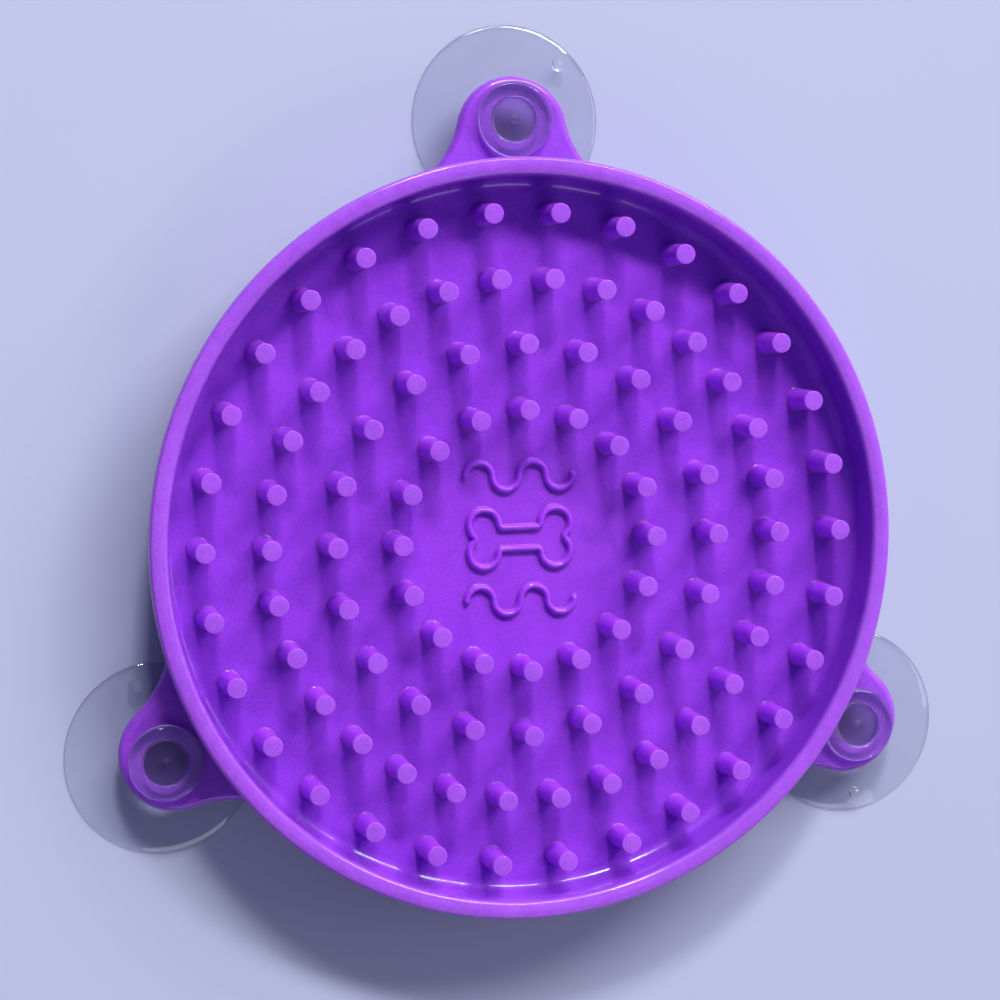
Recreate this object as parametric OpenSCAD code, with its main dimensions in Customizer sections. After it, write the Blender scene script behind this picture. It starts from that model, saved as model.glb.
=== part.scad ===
// Round lick mat for a pet: a soft dish with rings of lick pegs, held down by three suction cups.
// Z = 0 is the surface that the suction cups stand on, +Z is up out of the dish, and +Y points to one ear.
// X = Y = 0 is the middle of the outline seen from above, so the dish's own axis lies at Y = dish_y.

/* [Dish] */
// Radius of the inside of the dish wall
dish_inner_r = 77.6; // [66:0.1:95]
// Thickness of the dish wall
wall_t = 2.2; // [1.6:0.1:3.4]
// Thickness of the dish floor
floor_t = 3; // [1.8:0.1:5]
// Depth of the dish from the top of its rim to its floor
dish_depth = 10.5; // [6:0.1:20]
// Radius of the round corner inside, between floor and wall
inner_corner_r = 3; // [1:0.1:4]
// Radius of the round corner outside, under the wall
outer_corner_r = 1.2; // [0.4:0.1:1.8]
// Width of the flat-topped band along the rim
rim_w = 4; // [3.7:0.1:5.8]
// Height of that band
rim_h = 3.5; // [2:0.1:4.5]
// Radius of the band's round edges
rim_edge_r = 0.7; // [0.3:0.1:0.9]

/* [Lick pegs] */
// Radius of the innermost ring of pegs
first_ring_r = 28; // [26:0.1:34]
// Distance from the dish wall in to the outermost ring of pegs
outer_ring_gap = 7.6; // [6.6:0.1:16]
// Number of pegs on each ring, from the innermost out
ring_counts = [16, 20, 30, 30];
// Angle of the first peg on each ring, from the innermost out
ring_turns = [90, 90, 96, 96];
// Radius of a peg where it leaves the floor
peg_foot_r = 2.45; // [2.2:0.05:3]
// Radius of a peg at its flat top
peg_top_r = 2.13; // [1.2:0.01:2.4]
// Drop from the top of the rim to the tops of the pegs
peg_drop = 0.2; // [0:0.1:3]

/* [Ears] */
// Angle of each ear around the dish
ear_turns = [90, 210, 330];
// Gap between the outside of the dish wall and the head of the cup in an ear
head_wall_gap = 1.95; // [0.75:0.05:6]
// Distance from the hole in, towards the dish, to the centre of the ear's round end
ear_end_inset = 2.8; // [0:0.1:4]
// Radius of the ear's round end
ear_end_r = 12.2; // [11:0.1:14]
// Radius of the hollow curve where the ear runs into the dish wall
ear_root_r = 22; // [12:0.1:26]
// Thickness of an ear
ear_t = 2.6; // [1.8:0.1:4]

/* [Suction cups] */
// Radius of the skirt on the surface it holds to
skirt_r = 20.6; // [18:0.1:24]
// Thickness of the skirt at its edge
skirt_edge_t = 0.5; // [0.3:0.1:0.8]
// Height of the skirt's dome at the cup's axis
skirt_dome_h = 3.6; // [2.8:0.1:4.4]
// Width of the flat lip under the edge of the skirt
lip_w = 1.4; // [0.8:0.1:2.5]
// Height of the hollow under the skirt at the cup's axis
hollow_h = 1.8; // [1.2:0.1:2.2]
// Radius of the shoulder that the ear sits on
shoulder_r = 7.4; // [6.6:0.1:9]
// Height of the shoulder, and so of the dish's underside, above the surface
shoulder_h = 5; // [4.4:0.1:8]
// Radius of the neck that goes through the ear
neck_r = 4.85; // [3.5:0.05:5.5]
// Clearance all round the neck in the ear's hole
neck_clearance = 0.1; // [0.05:0.01:0.1]
// Radius of the mushroom head above the ear
head_r = 8.05; // [7:0.05:9]
// Thickness of the mushroom head
head_t = 1.9; // [1.4:0.1:3]
// Clearance between the ear and the head above it
head_clearance = 0.15; // [0.05:0.01:0.3]
// Radius of the shallow recess in the top of the head
recess_r = 4.9; // [3:0.1:5.5]
// Depth of that recess
recess_d = 0.8; // [0.3:0.1:1]
// Radius of the moulding point in the middle of the recess
point_r = 0.8; // [0.4:0.1:1.2]
// Height of the moulding point
point_h = 0.4; // [0.2:0.1:0.8]
// Distance from the cup's axis to the small release nub on the skirt
nub_reach = 16.6; // [15.6:0.1:17]
// Radius of the release nub
nub_r = 1.3; // [0.8:0.1:1.5]
// Height of the release nub's top above the surface
nub_top_h = 3.4; // [2.6:0.1:4.4]
// Angle at which each cup stands turned in its ear, measured to its nub
cup_turns = [46, 109, -84];

/* [Centre ridges] */
// Width of a ridge
ridge_w = 1.4; // [0.8:0.1:1.8]
// Height of a ridge above the floor
ridge_h = 1.2; // [0.6:0.1:2]
// Length of the bone shape from knob centre to knob centre
bone_knob_gap = 16; // [12:0.1:20]
// Radius of a knob of the bone shape
bone_knob_r = 4; // [3.2:0.1:4.4]
// Distance from the bone's middle line to the centre of a knob
bone_knob_rise = 3; // [2.4:0.1:3.4]
// Width of the bone's shaft
bone_shaft_w = 6; // [4:0.1:8]
// Radius of each bow of a wavy ridge
wave_r = 3; // [2:0.1:3.4]
// Number of bows on a wavy ridge
wave_bows = 4; // [2:1:5]
// Distance from the bone's middle line to a wavy ridge
wave_rise = 13.5; // [12:0.1:16]

/* [Hidden] */
$fn = 128;

silicone = [0.52, 0.20, 0.88];
silicone_light = [0.62, 0.34, 0.94];
clear_vinyl = [0.80, 0.80, 0.90, 0.45];

// How far a cut runs past the face that it cuts
overrun = 1;

dish_outer_r = dish_inner_r + wall_t;
rim_outer_r = dish_inner_r + rim_w;
underside_z = shoulder_h;
floor_z = underside_z + floor_t;
rim_z = floor_z + dish_depth;
ear_top_z = underside_z + ear_t;
head_z = ear_top_z + head_clearance;
hole_r = neck_r + neck_clearance;
nub_foot_z = hollow_h / 2;
peg_h = dish_depth - peg_drop;
ring_step = (dish_inner_r - outer_ring_gap - first_ring_r) / (len(ring_counts) - 1);

// Distance from the dish's axis to the hole in an ear
ear_hole_r = dish_outer_r + head_wall_gap + head_r;

// The outline reaches from the rim's far side to the skirt of the cup at the top ear
dish_y = (rim_outer_r - ear_hole_r - skirt_r) / 2;

// Centre of the ear's round end, and of the hollow root curve that touches it and a circle inside the
// dish wall, so that the curve leaves the wall's outside at a clear angle
ear_end_x = ear_hole_r - ear_end_inset;
root_on_r = dish_inner_r + (wall_t - outer_corner_r) / 2;
root_reach = root_on_r + ear_root_r;
root_touch = ear_end_r + ear_root_r;
root_x = (pow(root_reach, 2) + pow(ear_end_x, 2) - pow(root_touch, 2)) / (2 * ear_end_x);
root_y = sqrt(pow(root_reach, 2) - pow(root_x, 2));

// Radius of a dome, from the radius of its rim and its height
function dome_r(rim, height) = (pow(rim, 2) + pow(height, 2)) / (2 * height);

// Puts its children on the dish's own axis
module on_dish_axis() {
    translate([0, dish_y, 0])
        children();
}

// Puts its children on the axis of one ear's hole, turned as the ear is
module on_ear(turn) {
    on_dish_axis()
        rotate([0, 0, turn])
            translate([ear_hole_r, 0, 0])
                children();
}

// Section of the rim's band, with round edges
module rim_section() {
    translate([rim_edge_r, 0])
        square([rim_w - 2 * rim_edge_r, rim_h]);
    translate([0, rim_edge_r])
        square([rim_w, rim_h - 2 * rim_edge_r]);
    for (x = [rim_edge_r, rim_w - rim_edge_r], y = [rim_edge_r, rim_h - rim_edge_r])
        translate([x, y])
            circle(rim_edge_r);
}

// Half section of the dish, with X as the radius
module dish_section() {
    difference() {
        union() {
            square([dish_outer_r, floor_t]);
            translate([dish_inner_r, 0])
                square([wall_t, floor_t + dish_depth - rim_edge_r]);
            translate([dish_inner_r, floor_t + dish_depth - rim_h])
                rim_section();
            translate([dish_inner_r - inner_corner_r, floor_t])
                difference() {
                    square(inner_corner_r);
                    translate([0, inner_corner_r])
                        circle(inner_corner_r);
                }
        }
        translate([dish_outer_r - outer_corner_r, 0])
            difference() {
                translate([0, -overrun])
                    square([outer_corner_r + overrun, outer_corner_r + overrun]);
                translate([0, outer_corner_r])
                    circle(outer_corner_r);
            }
    }
}

// Outline of one ear that points along +X, with its hole, from the dish's axis
module ear_outline() {
    end_touch = [
        ear_end_x + (root_x - ear_end_x) * ear_end_r / root_touch,
        root_y * ear_end_r / root_touch
    ];
    wall_touch = [root_x, root_y] * root_on_r / root_reach;
    difference() {
        union() {
            translate([ear_end_x, 0])
                circle(ear_end_r);
            polygon([
                [0, 0],
                [wall_touch.x, -wall_touch.y],
                [end_touch.x, -end_touch.y],
                end_touch,
                wall_touch
            ]);
        }
        for (side = [-1, 1])
            translate([root_x, side * root_y])
                circle(ear_root_r);
        circle(dish_inner_r);
        translate([ear_hole_r, 0])
            circle(hole_r);
    }
}

module dish() {
    color(silicone)
        on_dish_axis()
            translate([0, 0, underside_z]) {
                rotate_extrude()
                    dish_section();
                linear_extrude(ear_t)
                    for (turn = ear_turns)
                        rotate(turn)
                            ear_outline();
            }
}

// One ring of pegs, each standing on the dish floor
module peg_ring(ring) {
    ring_r = first_ring_r + ring * ring_step;
    color(silicone_light)
        on_dish_axis()
            for (peg = [0:ring_counts[ring] - 1])
                rotate([0, 0, ring_turns[ring] + peg * 360 / ring_counts[ring]])
                    translate([ring_r, 0, floor_z])
                        cylinder(h = peg_h, r1 = peg_foot_r, r2 = peg_top_r);
}

// Flat bone shape, drawn in by an even inset
module bone(inset) {
    square([bone_knob_gap, bone_shaft_w - 2 * inset], center = true);
    for (end = [-1, 1], side = [-1, 1])
        translate([end * bone_knob_gap / 2, side * bone_knob_rise])
            circle(bone_knob_r - inset);
}

// Row of half rings that bow up and down in turn, with round ends
module wave() {
    first_x = -wave_r * (wave_bows - 1);
    for (bow = [0:wave_bows - 1])
        translate([first_x + bow * 2 * wave_r, 0])
            rotate([0, 0, bow % 2 * 180])
                intersection() {
                    difference() {
                        circle(wave_r + ridge_w / 2);
                        circle(wave_r - ridge_w / 2);
                    }
                    translate([-wave_r - ridge_w, 0])
                        square([2 * (wave_r + ridge_w), wave_r + ridge_w]);
                }
    for (end = [-1, 1])
        translate([end * wave_r * wave_bows, 0])
            circle(ridge_w / 2);
}

module centre_ridges() {
    color(silicone_light)
        on_dish_axis()
            translate([0, 0, floor_z])
                linear_extrude(ridge_h) {
                    difference() {
                        bone(0);
                        bone(ridge_w);
                    }
                    for (side = [-1, 1])
                        translate([0, side * wave_rise])
                            wave();
                }
}

// Half section of a suction cup, with X as the radius
module cup_section() {
    dome_outer_r = dome_r(skirt_r, skirt_dome_h - skirt_edge_t);
    dome_inner_r = dome_r(skirt_r - lip_w, hollow_h);
    difference() {
        union() {
            intersection() {
                translate([0, skirt_dome_h - dome_outer_r])
                    circle(dome_outer_r, $fn = 720);
                square([skirt_r, skirt_dome_h]);
            }
            translate([0, hollow_h])
                square([shoulder_r, shoulder_h - hollow_h]);
            translate([0, hollow_h])
                square([neck_r, head_z + head_t / 2 - hollow_h]);
            translate([0, head_z])
                square([head_r, head_t]);
        }
        translate([0, hollow_h - dome_inner_r])
            circle(dome_inner_r, $fn = 720);
        translate([point_r, head_z + head_t - recess_d])
            square([recess_r - point_r, recess_d + overrun]);
        translate([0, head_z + head_t - recess_d + point_h])
            square([recess_r, recess_d + overrun]);
    }
}

module suction_cup(which) {
    color(clear_vinyl)
        on_ear(ear_turns[which]) {
            rotate_extrude()
                cup_section();
            rotate([0, 0, cup_turns[which] - ear_turns[which]])
                translate([nub_reach, 0, nub_foot_z])
                    cylinder(h = nub_top_h - nub_foot_z, r = nub_r);
        }
}

dish();
centre_ridges();
peg_ring(0);  // pegs_inner_ring
peg_ring(1);  // pegs_second_ring
peg_ring(2);  // pegs_third_ring
peg_ring(3);  // pegs_outer_ring
suction_cup(0);  // suction_cup_top
suction_cup(1);  // suction_cup_left
suction_cup(2);  // suction_cup_right
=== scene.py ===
"""Looks for the round lick mat: one silicone moulding held down by three clear suction cups."""
import math

import bmesh
import bpy
from mathutils import Matrix, Vector


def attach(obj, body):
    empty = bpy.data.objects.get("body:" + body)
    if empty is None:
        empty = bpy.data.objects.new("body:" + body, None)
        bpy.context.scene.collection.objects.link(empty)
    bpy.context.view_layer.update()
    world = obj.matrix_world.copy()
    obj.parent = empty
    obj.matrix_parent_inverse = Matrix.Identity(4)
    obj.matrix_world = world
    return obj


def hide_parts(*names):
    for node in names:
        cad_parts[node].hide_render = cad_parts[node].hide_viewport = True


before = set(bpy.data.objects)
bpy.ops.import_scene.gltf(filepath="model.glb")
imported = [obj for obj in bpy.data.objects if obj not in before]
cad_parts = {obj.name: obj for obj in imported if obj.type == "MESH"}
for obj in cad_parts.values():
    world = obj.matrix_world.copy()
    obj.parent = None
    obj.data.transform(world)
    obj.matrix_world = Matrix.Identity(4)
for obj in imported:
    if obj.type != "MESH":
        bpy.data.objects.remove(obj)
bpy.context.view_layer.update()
scene = bpy.context.scene

# Sizes in millimetres, the same as in the CAD part
MM = 0.001
DISH_Y = -14.4
INNER_R, OUTER_R = 77.6, 79.8
UNDERSIDE_Z, FLOOR_Z, RIM_Z = 5.0, 8.0, 18.5
INNER_CORNER_R, OUTER_CORNER_R = 3.0, 1.2
RIM_W, RIM_H = 4.0, 3.5
EAR_TURNS = {"top": 90, "left": 210, "right": 330}
EAR_HOLE_R, EAR_END_INSET, EAR_END_R, EAR_ROOT_R, EAR_T = 89.8, 2.8, 12.2, 22.0, 2.6
HOLE_R = 4.95
# Each ring of pegs: name, radius, number of pegs, turn of its first peg
PEG_RINGS = (
    ("inner", 28.0, 16, 90),
    ("second", 42.0, 20, 90),
    ("third", 56.0, 30, 96),
    ("outer", 70.0, 30, 96),
)
PEG_FOOT_R, PEG_TOP_R, PEG_TOP_Z = 2.45, 2.13, 18.3
# The bone and the waves are given along the middle of their ridges
BONE_KNOB_X, BONE_KNOB_Y, BONE_KNOB_R, BONE_SHAFT_Y = 8.0, 3.0, 3.3, 2.3
WAVE_R, WAVE_BOWS, WAVE_Y = 3.0, 4, 13.5
CUP_TURNS = {"top": 46, "left": 109, "right": -84}
SKIRT_R, SKIRT_TOP_Z, SKIRT_EDGE_T = 20.6, 3.6, 0.5
HOLLOW_R, HOLLOW_TOP_Z = 19.2, 1.8
SHOULDER_R = 7.4
HEAD_R, HEAD_LOW_Z, HEAD_TOP_Z = 8.05, 7.75, 9.65
RECESS_R, RECESS_Z = 4.9, 8.85
NUB_REACH, NUB_R, NUB_FOOT_Z, NUB_TOP_Z = 16.6, 1.3, 0.9, 3.4

# Rounding in millimetres that differs from the CAD part's, or that it doesn't have
RIM_EDGE_R, RIM_INNER_EDGE_R, RIM_CROWN, BAND_FILLET = 0.9, 1.2, 0.1, 0.5
EAR_TOP_EDGE, EAR_UNDER_EDGE, HOLE_EDGE_R = 1.7, 0.6, 0.4
PEG_FILLET, PEG_EDGE_R = 0.35, 0.14
BONE_NOTCH_R, BONE_NECK_R = 0.9, 1.0
SHOULDER_FILLET, SHOULDER_EDGE_R = 0.8, 0.3
HEAD_LOW_EDGE_R, HEAD_TOP_EDGE_R, RECESS_EDGE_R = 0.5, 0.7, 0.3

# How far pegs and ridges reach down into the dish floor, so that no seam shows
ROOT = 1.2
# How far ears lie above the dish's underside, because faces in one plane don't join cleanly
EAR_LIFT = 0.02
# How far a cutter reaches past what it cuts
OVERRUN = 1
# Height of a row of points on the nub's upright side
NUB_SIDE_Z = 1.6

# Outlines of radius and height: the skirt's edge from its lip up, the neck from shoulder to
# head, and the moulding point in the recess
SKIRT_EDGE = [(20.3, 0.0), (20.5, 0.06), (20.6, 0.2), (20.57, 0.36), (20.45, 0.47), (20.25, 0.56)]
NECK = [(5.3, 5.0), (4.95, 5.05), (4.85, 5.2), (4.85, 6.4), (4.85, 7.55), (5.0, 7.75)]
POINT = [(2.6, 8.85), (1.1, 8.85), (0.85, 8.95), (0.72, 9.1), (0.5, 9.21), (0.25, 9.25), (0, 9.25)]
# Section of a ridge: distance from its middle, height above the dish floor
RIDGE = [(-0.86, -ROOT), (-0.86, 0.0), (-0.78, 0.04), (-0.72, 0.16), (-0.68, 0.4), (-0.6, 0.68),
         (-0.47, 0.93), (-0.26, 1.12), (0.0, 1.2)]
RIDGE += [(-s, h) for s, h in reversed(RIDGE[:-1])]

# Number of faces round each turned shape, and of steps round a ridge's end
DISH_STEPS, HOLE_STEPS, PEG_STEPS, CUP_STEPS, NUB_STEPS = 480, 96, 48, 160, 40
END_STEPS = 10


def arc(cx, cy, r, start, end, steps):
    """Points on an arc from one angle to another, in degrees, both ends included."""
    turns = [math.radians(start + (end - start) * i / steps) for i in range(steps + 1)]
    return [(cx + r * math.cos(t), cy + r * math.sin(t)) for t in turns]


def around_dish(r, turn):
    """Place at a distance from the dish's axis, at a turn in degrees."""
    t = math.radians(turn)
    return r * math.cos(t), DISH_Y + r * math.sin(t)


def add_face(bm, verts):
    """Adds a face, in which a point that comes twice counts once."""
    corners = []
    for v in verts:
        if v not in corners:
            corners.append(v)
    bm.faces.new(corners)


def lathe(bm, profile, segments, x, y):
    """Turns a profile of (radius, height) about the vertical line through x, y."""
    rings = []
    for r, z in profile:
        if r < 1e-6:
            rings.append([bm.verts.new((x * MM, y * MM, z * MM))] * segments)
            continue
        turns = [math.tau * i / segments for i in range(segments)]
        rings.append([
            bm.verts.new(((x + r * math.cos(t)) * MM, (y + r * math.sin(t)) * MM, z * MM))
            for t in turns
        ])
    for low, high in zip(rings, rings[1:]):
        for i in range(segments):
            j = (i + 1) % segments
            add_face(bm, (low[i], low[j], high[j], high[i]))


def finish_mesh(bm, name):
    """Makes an object of a bmesh, with its normals out."""
    bmesh.ops.recalc_face_normals(bm, faces=bm.faces)
    mesh = bpy.data.meshes.new(name)
    bm.to_mesh(mesh)
    bm.free()
    obj = bpy.data.objects.new(name, mesh)
    scene.collection.objects.link(obj)
    return obj


def settle(obj):
    """Turns an object's modifiers into its mesh."""
    graph = bpy.context.evaluated_depsgraph_get()
    mesh = bpy.data.meshes.new_from_object(obj.evaluated_get(graph))
    obj.modifiers.clear()
    obj.data = mesh
    mesh.name = obj.name


def combine(obj, other, operation):
    """Joins another object to this one, or cuts it out, as one closed skin."""
    mod = obj.modifiers.new("combine", "BOOLEAN")
    mod.operation = operation
    mod.solver = "EXACT"
    mod.object = other
    settle(obj)
    bpy.data.objects.remove(other)


def shade(obj, sharp_from=38):
    """Smooth shading with crisp corners, and flat faces kept flat beside round edges."""
    obj.data.shade_smooth()
    obj.data.set_sharp_from_angle(angle=math.radians(sharp_from))
    mod = obj.modifiers.new("even", "WEIGHTED_NORMAL")
    mod.keep_sharp = True
    mod.weight = 80
    settle(obj)


def dish_profile():
    """Outline of the dish, from the middle of its underside to the middle of its floor."""
    band_z, top_z = RIM_Z - RIM_H, RIM_Z - RIM_CROWN
    outer_x, inner_x = INNER_R + RIM_W - RIM_EDGE_R, INNER_R + RIM_INNER_EDGE_R
    middle, half = (outer_x + inner_x) / 2, (outer_x - inner_x) / 2
    points = [(r, UNDERSIDE_Z) for r in (0, 15, 30, 45, 60, 72)]
    points += arc(OUTER_R - OUTER_CORNER_R, UNDERSIDE_Z + OUTER_CORNER_R, OUTER_CORNER_R, -90, 0, 8)
    points += [(OUTER_R, z) for z in (9.0, 11.5)]
    points += arc(OUTER_R + BAND_FILLET, band_z - BAND_FILLET, BAND_FILLET, 180, 90, 6)
    points += arc(outer_x, band_z + RIM_EDGE_R, RIM_EDGE_R, -90, 0, 8)
    points += arc(outer_x, top_z - RIM_EDGE_R, RIM_EDGE_R, 0, 80, 8)
    across = [k / 3 for k in (-2.8, -2, -1, 0, 1, 2, 2.8)]
    points += [(middle - half * k, RIM_Z - RIM_CROWN * k ** 2) for k in across]
    points += arc(inner_x, top_z - RIM_INNER_EDGE_R, RIM_INNER_EDGE_R, 95, 180, 10)
    points += [(INNER_R, z) for z in (15.0, 13.0)]
    points += arc(INNER_R - INNER_CORNER_R, FLOOR_Z + INNER_CORNER_R, INNER_CORNER_R, 0, -90, 14)
    points += [(r, FLOOR_Z) for r in (70, 63, 56, 49, 42, 35, 28, 21, 14, 7, 0)]
    return points


def ear_outline(inset):
    """Outline of an ear that points along +X, drawn in by the inset and closed inside the dish."""
    tip_x = EAR_HOLE_R - EAR_END_INSET
    reach = INNER_R + (OUTER_R - INNER_R - OUTER_CORNER_R) / 2 + EAR_ROOT_R
    touch = EAR_END_R + EAR_ROOT_R
    root_x = (reach ** 2 + tip_x ** 2 - touch ** 2) / (2 * tip_x)
    root_y = math.sqrt(reach ** 2 - root_x ** 2)
    to_wall = math.degrees(math.atan2(-root_y, -root_x))
    to_tip = math.degrees(math.atan2(-root_y, tip_x - root_x))
    tip_turn = to_tip + 180
    upper = arc(root_x, root_y, EAR_ROOT_R + inset, to_tip, to_wall, 28)
    lower = [(x, -y) for x, y in reversed(upper)]
    tip = arc(tip_x, 0, EAR_END_R - inset, -tip_turn, tip_turn, 64)
    return lower + tip[1:-1] + upper


def make_ears():
    """The three ears, with round edges and their holes."""
    low_z, high_z = UNDERSIDE_Z + EAR_LIFT, UNDERSIDE_Z + EAR_T
    # Inset and height of each outline, from the underside up
    edge = arc(EAR_UNDER_EDGE, low_z + EAR_UNDER_EDGE, EAR_UNDER_EDGE, 270, 180, 6)
    edge += arc(EAR_TOP_EDGE, high_z - EAR_TOP_EDGE, EAR_TOP_EDGE, 180, 90, 6)
    bm = bmesh.new()
    for turn in EAR_TURNS.values():
        place = Matrix.Translation((0, DISH_Y * MM, 0)) @ Matrix.Rotation(math.radians(turn), 4, "Z")
        rings = [
            [bm.verts.new(place @ Vector((x * MM, y * MM, z * MM))) for x, y in ear_outline(inset)]
            for inset, z in edge
        ]
        bm.faces.new(list(reversed(rings[0])))
        bm.faces.new(rings[-1])
        for low, high in zip(rings, rings[1:]):
            for i in range(len(low)):
                j = (i + 1) % len(low)
                bm.faces.new((low[i], low[j], high[j], high[i]))
    ears = finish_mesh(bm, "ears")
    wide = HOLE_R + HOLE_EDGE_R
    hole = [(0, low_z - OVERRUN), (wide, low_z - OVERRUN)]
    hole += arc(wide, low_z + HOLE_EDGE_R, HOLE_EDGE_R, 270, 180, 4)
    hole += arc(wide, high_z - HOLE_EDGE_R, HOLE_EDGE_R, 180, 90, 4)
    hole += [(wide, high_z + OVERRUN), (0, high_z + OVERRUN)]
    bm = bmesh.new()
    for turn in EAR_TURNS.values():
        lathe(bm, hole, HOLE_STEPS, *around_dish(EAR_HOLE_R, turn))
    combine(ears, finish_mesh(bm, "holes"), "DIFFERENCE")
    return ears


def make_dish():
    """The dish with its ears."""
    bm = bmesh.new()
    lathe(bm, dish_profile(), DISH_STEPS, 0, DISH_Y)
    dish = finish_mesh(bm, "dish_moulding")
    combine(dish, make_ears(), "UNION")
    shade(dish)
    return dish


def peg_profile():
    """Outline of a peg, from its root in the floor to the middle of its top."""
    slope = (PEG_FOOT_R - PEG_TOP_R) / (PEG_TOP_Z - FLOOR_Z)
    low_r, low_z = PEG_FOOT_R - slope * PEG_FILLET, FLOOR_Z + PEG_FILLET
    high_r, high_z = PEG_TOP_R + slope * PEG_EDGE_R, PEG_TOP_Z - PEG_EDGE_R
    points = [(0, FLOOR_Z - ROOT), (PEG_FOOT_R + PEG_FILLET, FLOOR_Z - ROOT)]
    points += arc(low_r + PEG_FILLET, low_z, PEG_FILLET, 270, 180, 7)
    points += [(low_r + (high_r - low_r) * k, low_z + (high_z - low_z) * k) for k in (0.25, 0.5, 0.75)]
    points += arc(high_r - PEG_EDGE_R, high_z, PEG_EDGE_R, 0, 90, 5)
    points += [(1.0, PEG_TOP_Z), (0, PEG_TOP_Z)]
    return points


def make_pegs(name, ring_r, count, first):
    """One ring of pegs."""
    bm = bmesh.new()
    for peg in range(count):
        lathe(bm, peg_profile(), PEG_STEPS, *around_dish(ring_r, first + 360 * peg / count))
    pegs = finish_mesh(bm, "lick_pegs_" + name)
    shade(pegs)
    return pegs


def heading(start, end):
    """Direction from one point to another, and the direction to the left of it."""
    along = Vector((end[0] - start[0], end[1] - start[1])).normalized()
    return along, Vector((-along.y, along.x))


def ridge_point(bm, x, y, height):
    """Point of a ridge, placed from the dish's axis and the dish floor."""
    return bm.verts.new((x * MM, (y + DISH_Y) * MM, (FLOOR_Z + height) * MM))


def sweep(bm, path, closed):
    """Runs the ridge's section along a flat path about the dish's axis."""
    rings = []
    count, size = len(path), len(RIDGE)
    for i, (x, y) in enumerate(path):
        before = path[i - 1] if closed or i else path[0]
        after = path[(i + 1) % count] if closed or i < count - 1 else path[-1]
        _, side = heading(before, after)
        rings.append([ridge_point(bm, x + side.x * s, y + side.y * s, h) for s, h in RIDGE])
    for i in range(count if closed else count - 1):
        low, high = rings[i], rings[(i + 1) % count]
        for k in range(size):
            m = (k + 1) % size
            bm.faces.new((low[k], low[m], high[m], high[k]))
    if not closed:
        round_end(bm, rings[0], path[1], path[0])
        round_end(bm, rings[-1], path[-2], path[-1])


def round_end(bm, ring, near, far):
    """Closes a ridge at its far point with half a turn of its section.

    At a path's first point the half turn starts on the other side from the ring, so the skin
    crosses itself there. At its last point it doesn't.
    """
    along, side = heading(near, far)
    half = len(RIDGE) // 2
    fan = [ring[:half + 1]]
    for step in range(1, END_STEPS):
        t = math.pi * step / END_STEPS
        turned = []
        for s, h in RIDGE[:half]:
            out = side * s * math.cos(t) - along * s * math.sin(t)
            turned.append(ridge_point(bm, far[0] + out.x, far[1] + out.y, h))
        fan.append(turned + [ring[half]])
    fan.append(list(reversed(ring[half:])))
    for low, high in zip(fan, fan[1:]):
        for k in range(half):
            add_face(bm, (low[k], low[k + 1], high[k + 1], high[k]))
    bm.faces.new([f[0] for f in fan])


def bone_path():
    """Outline of the bone, along the middle of its ridge."""
    neck_y = BONE_SHAFT_Y + BONE_NECK_R
    notch_x = BONE_KNOB_X + math.sqrt((BONE_KNOB_R + BONE_NOTCH_R) ** 2 - BONE_KNOB_Y ** 2)
    neck_x = BONE_KNOB_X - math.sqrt(
        (BONE_KNOB_R + BONE_NECK_R) ** 2 - (neck_y - BONE_KNOB_Y) ** 2)
    to_notch = math.degrees(math.atan2(-BONE_KNOB_Y, notch_x - BONE_KNOB_X))
    to_neck = math.degrees(math.atan2(neck_y - BONE_KNOB_Y, neck_x - BONE_KNOB_X))
    quarter = [(x, BONE_SHAFT_Y) for x in (0.0, 1.0, 2.0, 3.0)]
    quarter += arc(neck_x, neck_y, BONE_NECK_R, -90, to_neck - 180, 8)
    quarter += arc(BONE_KNOB_X, BONE_KNOB_Y, BONE_KNOB_R, to_neck, to_notch, 40)[1:]
    quarter += arc(notch_x, 0, BONE_NOTCH_R, to_notch + 180, 180, 8)[1:]
    right = quarter + [(x, -y) for x, y in reversed(quarter[1:-1])]
    return right + [(-x, -y) for x, y in right]


def wave_path(y):
    """Row of half circles that bow up and down in turn."""
    first_x = -WAVE_R * (WAVE_BOWS - 1)
    points = []
    for bow in range(WAVE_BOWS):
        end = 360 if bow % 2 else 0
        bend = arc(first_x + 2 * WAVE_R * bow, y, WAVE_R, 180, end, 20)
        points += bend[1:] if bow else bend
    return points


def make_emblem():
    """The bone outline between two wavy ridges."""
    bm = bmesh.new()
    sweep(bm, bone_path(), True)
    for y in (-WAVE_Y, WAVE_Y):
        sweep(bm, wave_path(y), False)
    emblem = finish_mesh(bm, "bone_and_waves")
    shade(emblem, sharp_from=60)
    return emblem


def dome(top_z, edge_r, drop):
    """Height of a round dome at a radius, and the radius of its ball."""
    ball_r = (edge_r ** 2 + drop ** 2) / (2 * drop)
    return lambda r: top_z - ball_r + math.sqrt(ball_r ** 2 - r ** 2), ball_r


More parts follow.
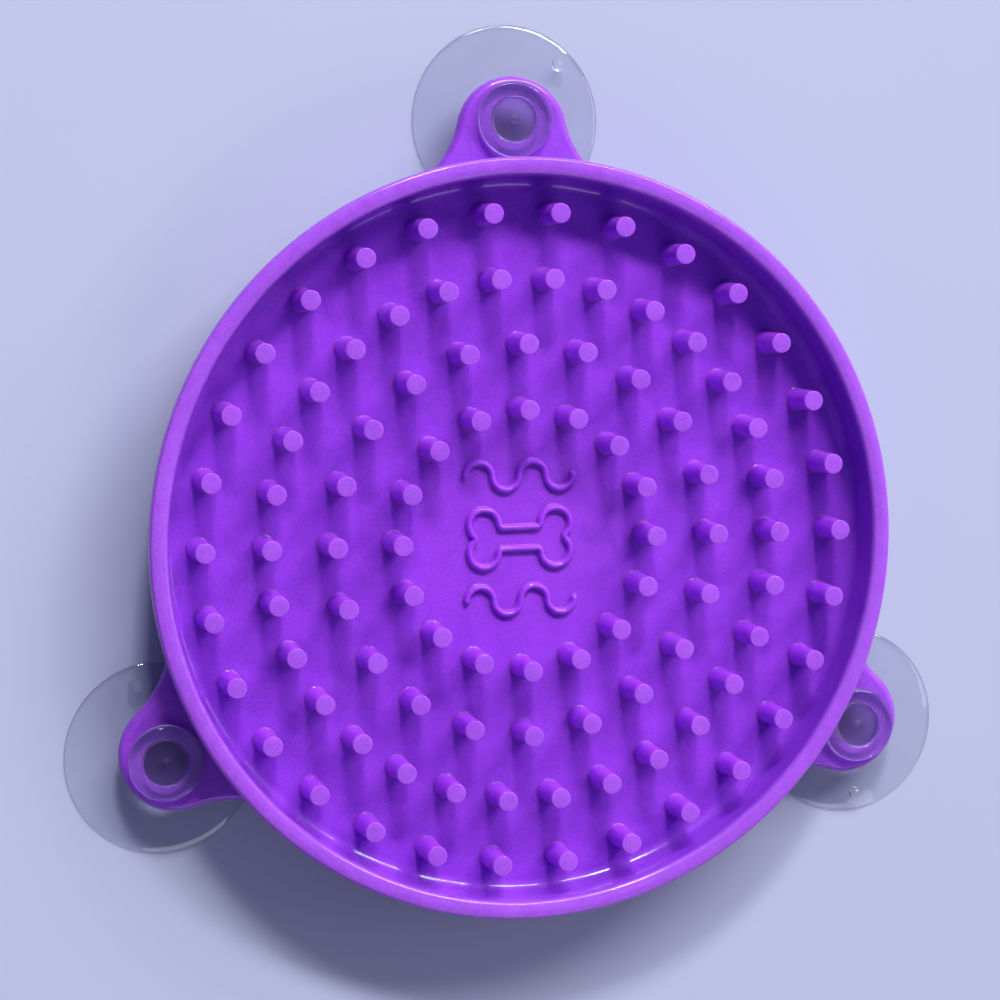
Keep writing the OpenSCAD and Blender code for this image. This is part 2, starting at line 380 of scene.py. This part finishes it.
def cup_profile():
    """Outline of a suction cup, from its hollow round the skirt's edge up to its head."""
    hollow, _ = dome(HOLLOW_TOP_Z, HOLLOW_R, HOLLOW_TOP_Z)
    skirt, ball_r = dome(SKIRT_TOP_Z, SKIRT_R, SKIRT_TOP_Z - SKIRT_EDGE_T)
    points = [(r, hollow(r)) for r in (0, 3, 6, 9, 12, 14, 16, 17.5, 18.6, HOLLOW_R)]
    points += SKIRT_EDGE
    points += [(r, skirt(r)) for r in (19.8, 19, 18, 16.5, 15, 13, 11, 9.2)]
    # The fillet touches both the dome and the side of the shoulder
    ball_z = SKIRT_TOP_Z - ball_r
    fillet_x = SHOULDER_R + SHOULDER_FILLET
    fillet_z = ball_z + math.sqrt((ball_r + SHOULDER_FILLET) ** 2 - fillet_x ** 2)
    start = math.degrees(math.atan2(ball_z - fillet_z, -fillet_x)) % 360
    points += arc(fillet_x, fillet_z, SHOULDER_FILLET, start, 180, 6)
    points += arc(SHOULDER_R - SHOULDER_EDGE_R, UNDERSIDE_Z - SHOULDER_EDGE_R, SHOULDER_EDGE_R, 0, 90, 4)
    points += NECK
    points += arc(HEAD_R - HEAD_LOW_EDGE_R, HEAD_LOW_Z + HEAD_LOW_EDGE_R, HEAD_LOW_EDGE_R, -90, 0, 5)
    points += arc(HEAD_R - HEAD_TOP_EDGE_R, HEAD_TOP_Z - HEAD_TOP_EDGE_R, HEAD_TOP_EDGE_R, 0, 90, 8)
    points += arc(RECESS_R + RECESS_EDGE_R, HEAD_TOP_Z - RECESS_EDGE_R, RECESS_EDGE_R, 90, 180, 4)
    points += arc(RECESS_R - RECESS_EDGE_R, RECESS_Z + RECESS_EDGE_R, RECESS_EDGE_R, 0, -90, 4)
    points += POINT
    return points


def make_cup(name):
    """The suction cup in the ear of that name, with its nub."""
    x, y = around_dish(EAR_HOLE_R, EAR_TURNS[name])
    bm = bmesh.new()
    lathe(bm, cup_profile(), CUP_STEPS, x, y)
    cup = finish_mesh(bm, "clear_cup_" + name)
    nub = [(0, NUB_FOOT_Z), (NUB_R, NUB_FOOT_Z), (NUB_R, NUB_SIDE_Z)]
    nub += arc(0, NUB_TOP_Z - NUB_R, NUB_R, 0, 90, 10)[:-1] + [(0, NUB_TOP_Z)]
    turn = math.radians(CUP_TURNS[name])
    bm = bmesh.new()
    lathe(bm, nub, NUB_STEPS, x + NUB_REACH * math.cos(turn), y + NUB_REACH * math.sin(turn))
    combine(cup, finish_mesh(bm, "nub"), "UNION")
    shade(cup, sharp_from=50)
    return cup


class Nodes:
    """Short hand for a material's node tree. Its lengths are in metres."""

    def __init__(self, name):
        self.material = bpy.data.materials.new(name)
        self.material.use_nodes = True
        self.tree = self.material.node_tree
        self.shader = self.tree.nodes["Principled BSDF"]
        self.place = self.add("ShaderNodeTexCoord").outputs["Object"]

    def add(self, kind, **sockets):
        """A node, with an underscore for each space in the names of its sockets."""
        node = self.tree.nodes.new(kind)
        for name, value in sockets.items():
            self.put(node.inputs[name.replace("_", " ")], value)
        return node

    def put(self, socket, value):
        """Links a socket to another node's output, or sets its value."""
        if isinstance(value, bpy.types.NodeSocket):
            self.tree.links.new(value, socket)
        else:
            socket.default_value = value

    def height(self):
        """Height above the surface that the cups hold to."""
        return self.add("ShaderNodeSeparateXYZ", Vector=self.place).outputs["Z"]

    def noise(self, scale, detail, roughness):
        """Cloudy noise, mostly between 0.3 and 0.7."""
        node = self.add("ShaderNodeTexNoise", Vector=self.place, Scale=scale, Detail=detail,
                        Roughness=roughness)
        return node.outputs["Fac"]

    def ramp(self, value, low, high, to_low, to_high):
        """Turns the range from low to high into another range, and stops at its ends."""
        node = self.add("ShaderNodeMapRange")
        for name, item in (("Value", value), ("From Min", low), ("From Max", high),
                           ("To Min", to_low), ("To Max", to_high)):
            self.put(node.inputs[name], item)
        return node.outputs["Result"]

    def mottle(self, scale, detail, roughness, to_low, to_high):
        """Noise spread over a range."""
        return self.ramp(self.noise(scale, detail, roughness), 0.3, 0.7, to_low, to_high)

    def math(self, operation, first, second):
        node = self.tree.nodes.new("ShaderNodeMath")
        node.operation = operation
        self.put(node.inputs[0], first)
        self.put(node.inputs[1], second)
        return node.outputs[0]

    def sum(self, first, second):
        return self.math("ADD", first, second)

    def steep(self, level_from, level_to):
        """1 on upright surfaces and 0 on level ones."""
        normal = self.add("ShaderNodeNewGeometry").outputs["Normal"]
        up = self.add("ShaderNodeSeparateXYZ", Vector=normal).outputs["Z"]
        return self.ramp(self.math("ABSOLUTE", up, 0.0), level_from, level_to, 1.0, 0.0)

    def from_axis(self):
        """Distance from the dish's upright axis."""
        flat = self.tree.nodes.new("ShaderNodeVectorMath")
        flat.operation = "MULTIPLY"
        self.put(flat.inputs[0], self.place)
        self.put(flat.inputs[1], (1, 1, 0))
        away = self.tree.nodes.new("ShaderNodeVectorMath")
        away.operation = "DISTANCE"
        self.put(away.inputs[0], flat.outputs[0])
        self.put(away.inputs[1], (0, DISH_Y * MM, 0))
        return away.outputs["Value"]

    def blend(self, factor, first, second, how="MIX"):
        """Mixes two colours."""
        node = self.tree.nodes.new("ShaderNodeMix")
        node.data_type = "RGBA"
        node.blend_type = how
        self.put(node.inputs[0], factor)
        self.put(node.inputs[6], first)
        self.put(node.inputs[7], second)
        return node.outputs[2]

    def bump(self, height, strength, distance, under=None):
        """Normal with relief of that height, on top of another bump if there is one."""
        node = self.add("ShaderNodeBump", Height=height, Strength=strength, Distance=distance)
        if under:
            self.put(node.inputs["Normal"], under)
        return node.outputs["Normal"]


def silicone_material():
    """Violet silicone, satin with a fine grain."""
    n = Nodes("violet_silicone")
    s = n.shader.inputs
    cloud = n.mottle(35, 4, 0.55, -0.1, 0.2)
    fine = n.mottle(420, 5, 0.6, -0.03, 0.28)
    speck = n.mottle(2400, 2, 0.6, -0.02, 0.6)
    tone = n.sum(n.sum(cloud, fine), speck)
    # Painted shade tone and painted light tone, each with the grain's random tone
    painted_shade_tone = n.blend(tone, (0.27, 0.037, 0.62, 1), (0.4, 0.073, 0.81, 1))
    painted_light_tone = n.blend(tone, (0.33, 0.075, 0.65, 1), (0.48, 0.137, 0.84, 1))
    # Painted light and shade: peg tops and the rim are painted pale, as if lit, ears half as pale, and
    # the dish floor and walls deep, as if shaded by the pegs and walls
    height = n.height()
    painted_light_on_tops = n.ramp(height, 0.0166, 0.0181, 0.0, 1.0)
    ears = n.ramp(height, 0.0077, 0.0079, 0.5, 0.0)
    colour = n.blend(n.sum(painted_light_on_tops, ears), painted_shade_tone, painted_light_tone)
    # Painted light and shade on upright faces: the sides of the thin pegs are painted paler, as if light
    # went through them, and the thick walls are painted darker, as shade
    wall = n.ramp(n.from_axis(), 0.0735, 0.0765, 0.0, 1.0)
    side = n.blend(wall, (1.1, 0.86, 1.06, 1), (0.73, 0.65, 0.81, 1))
    n.put(s["Base Color"], n.blend(n.steep(0.5, 0.97), colour, side, "MULTIPLY"))
    n.put(s["Roughness"], n.mottle(260, 4, 0.6, 0.36, 0.52))
    grain = n.bump(n.noise(5200, 2, 0.5), 0.3, 0.00004)
    n.put(s["Normal"], n.bump(n.noise(300, 3, 0.5), 0.12, 0.0003, grain))
    n.put(s["Coat Normal"], n.bump(n.noise(2400, 2, 0.5), 0.08, 0.00002))
    # The mould leaves the level faces satin and the rounds glossy
    n.put(s["Coat Weight"], n.ramp(n.steep(0.9, 0.985), 0.0, 1.0, 0.1, 0.9))
    s["IOR"].default_value = 1.42
    s["Specular IOR Level"].default_value = 0.2
    s["Coat Roughness"].default_value = 0.12
    s["Coat IOR"].default_value = 1.42
    s["Subsurface Weight"].default_value = 1.0
    s["Subsurface Radius"].default_value = (0.7, 0.2, 1.0)
    s["Subsurface Scale"].default_value = 0.0011
    return n.material


def vinyl_material():
    """Clear vinyl: glass to look through, that light falls through with a soft shade."""
    n = Nodes("clear_vinyl")
    s = n.shader.inputs
    cloud = n.noise(60, 3, 0.5)
    skirt = n.blend(cloud, (0.83, 0.84, 0.9, 1), (0.9, 0.91, 0.96, 1))
    head = n.blend(cloud, (0.84, 0.76, 0.94, 1), (0.92, 0.87, 0.98, 1))
    # Painted shade: the recess is painted deep violet, for the shaded table and the violet hole wall
    # seen down the neck
    painted_shade_tone = n.blend(cloud, (0.27, 0.065, 0.75, 1), (0.35, 0.095, 0.83, 1))
    height = n.height()
    thick = n.ramp(height, 0.0045, 0.0055, 0.0, 1.0)
    recess = n.math("SUBTRACT", n.ramp(height, 0.0086, 0.0088, 0.0, 1.0),
                    n.ramp(height, 0.0092, 0.0094, 0.0, 1.0))
    n.put(s["Base Color"], n.blend(recess, n.blend(thick, skirt, head), painted_shade_tone))
    gloss = n.mottle(180, 3, 0.5, 0.03, 0.09)
    n.put(s["Roughness"], n.sum(gloss, n.math("MULTIPLY", recess, 0.6)))
    n.put(s["Normal"], n.bump(n.noise(160, 3, 0.5), 0.10, 0.0004))
    s["IOR"].default_value = 1.52
    s["Transmission Weight"].default_value = 0.98
    # A steep side bends the light away, so its shadow is darker than a level face's
    dark = n.blend(thick, (0.62, 0.6, 0.68, 1), (0.2, 0.15, 0.3, 1))
    see = n.add("ShaderNodeBsdfTransparent")
    n.put(see.inputs["Color"], n.blend(n.steep(0.55, 0.95), (0.92, 0.92, 0.94, 1), dark))
    rays = n.add("ShaderNodeLightPath")
    light = n.math("MAXIMUM", rays.outputs["Is Shadow Ray"], rays.outputs["Is Diffuse Ray"])
    mix = n.tree.nodes.new("ShaderNodeMixShader")
    n.put(mix.inputs[0], light)
    n.put(mix.inputs[1], n.shader.outputs[0])
    n.put(mix.inputs[2], see.outputs[0])
    n.put(n.tree.nodes["Material Output"].inputs["Surface"], mix.outputs[0])
    return n.material


def floor_material():
    n = Nodes("pale_floor")
    n.shader.inputs["Base Color"].default_value = (0.46, 0.485, 0.655, 1)
    n.shader.inputs["Roughness"].default_value = 0.6
    return n.material


def place_piece(obj, material, body, node):
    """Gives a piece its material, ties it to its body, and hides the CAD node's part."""
    obj.data.materials.clear()
    obj.data.materials.append(material)
    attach(obj, body)
    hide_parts(node)


silicone = silicone_material()
vinyl = vinyl_material()
place_piece(make_dish(), silicone, "mat", "dish")
place_piece(make_emblem(), silicone, "mat", "centre_ridges")
for ring_name, ring_r, count, first in PEG_RINGS:
    pegs = make_pegs(ring_name, ring_r, count, first)
    place_piece(pegs, silicone, "mat", "pegs_" + ring_name + "_ring")
for cup_name in EAR_TURNS:
    place_piece(make_cup(cup_name), vinyl, "cup_" + cup_name, "suction_cup_" + cup_name)

# The plain floor that the cups hold to, a hair below them so that the two don't share a plane
FLOOR_SIZE, FLOOR_GAP = 6.0, 0.00005
bpy.ops.mesh.primitive_plane_add(size=FLOOR_SIZE, location=(0, 0, -FLOOR_GAP))
floor = bpy.context.object
floor.name = "floor"
floor.data.materials.append(floor_material())

# Soft lights: name, azimuth and elevation in degrees, width and height in metres, watts
SOFT_LIGHTS = (
    ("key", 91, 36, (0.8, 0.6), 135),
    ("window", 64, 37, (4.0, 0.5), 212),
    ("window_low", 50, 25, (2.0, 0.8), 62),
    ("side_fill", 8, 30, (2.4, 1.2), 24),
    ("back_fill", 290, 35, (3.0, 1.5), 34),
)
LIGHT_COLOUR, LIGHT_DISTANCE = (0.98, 0.99, 0.99), 5.0
WORLD_COLOUR, WORLD_STRENGTH = (0.8, 0.82, 1.4, 1), 0.16


def soft_light(name, azimuth, elevation, size, power):
    """Area light seen from the frame's origin in that direction, and aimed at it."""
    data = bpy.data.lights.new(name, "AREA")
    data.shape = "RECTANGLE"
    data.size, data.size_y = size
    data.energy = power
    data.color = LIGHT_COLOUR
    obj = bpy.data.objects.new(name, data)
    scene.collection.objects.link(obj)
    a, e = math.radians(azimuth), math.radians(elevation)
    direction = Vector((math.cos(e) * math.cos(a), math.cos(e) * math.sin(a), math.sin(e)))
    obj.location = direction * LIGHT_DISTANCE
    obj.rotation_euler = (-direction).to_track_quat("-Z", "Y").to_euler()


for light in SOFT_LIGHTS:
    soft_light(*light)
world = bpy.data.worlds.new("studio")
world.use_nodes = True
world.node_tree.nodes["Background"].inputs["Color"].default_value = WORLD_COLOUR
world.node_tree.nodes["Background"].inputs["Strength"].default_value = WORLD_STRENGTH
scene.world = world
scene.view_settings.view_transform = "Standard"

# Camera fitted to the photograph's viewing angle: its place in metres and its three axes
CAMERA_PLACE = (-0.16258, 0.04465, 0.6196)
CAMERA_RIGHT, CAMERA_UP, CAMERA_BACK = (
    (0.96772, -0.01322, 0.25167), (0.03292, 0.99670, -0.07421), (-0.24986, 0.08010, 0.96496))
camera_data = bpy.data.cameras.new("camera")
camera_data.lens = 105.742
camera_data.sensor_width = 36
camera_data.clip_end = 20
camera = bpy.data.objects.new("camera", camera_data)
scene.collection.objects.link(camera)
camera.matrix_world = Matrix.Translation(CAMERA_PLACE) @ Matrix(
    (CAMERA_RIGHT, CAMERA_UP, CAMERA_BACK)).transposed().to_4x4()
scene.camera = camera

bpy.context.view_layer.update()
